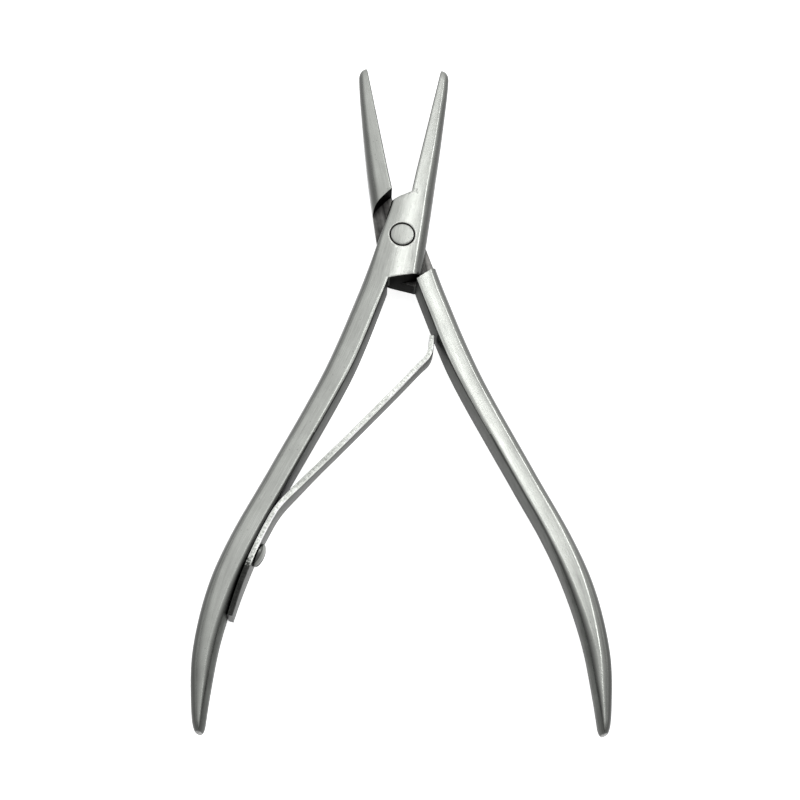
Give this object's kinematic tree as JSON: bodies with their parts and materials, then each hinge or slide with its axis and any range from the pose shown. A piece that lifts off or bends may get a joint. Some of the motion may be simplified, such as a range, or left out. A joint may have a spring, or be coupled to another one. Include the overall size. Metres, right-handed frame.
{
  "type": "spring pliers",
  "caption": "Small lap-joint pliers with slender smooth jaws, long curved handles, a flush rivet and a single leaf spring that holds them open.",
  "frame": {"origin": "on the rivet's axis, at the joint's bottom flat", "axes": "+Z along the rivet, up out of the face whose top plate joins the sprung handle; +Y toward the jaw tips; +X toward the plain handle, when the tool stands open"},
  "size_m": [0.0808, 0.1441, 0.0086],
  "materials": {
    "halves": "satin, fine lengthwise brushing",
    "rivet": "ground flush, satin",
    "spring": "rolled strip with ground edges, dark at the foot",
    "screw": "turned, slightly dull"
  },
  "bodies": {
    "front": {"front_half": "halves", "pivot_rivet": "rivet", "spring_leg": "spring", "spring_screw": "screw"},
    "back": {"back_half": "halves"},
    "spring": {"spring_arm": "spring"}
  },
  "joints": [
    {"name": "handle_close", "type": "hinge", "parent": "front", "child": "back", "pos_m": [0, 0, 0.00425], "axis": [0, 0, -1], "range_deg": [0, 22], "stiffness_Nm_per_rad": 1.5, "springref_deg": -5.73},
    {"name": "spring_flex", "type": "hinge", "parent": "front", "child": "spring", "pos_m": [-0.02415, -0.05847, 0.00425], "axis": [0, 0, 1], "range_deg": [0, 14], "deforming": ["spring_arm"]}
  ],
  "couplings": [
    {"joint": "spring_flex", "follows": "handle_close", "ratio": 0.6}
  ]
}
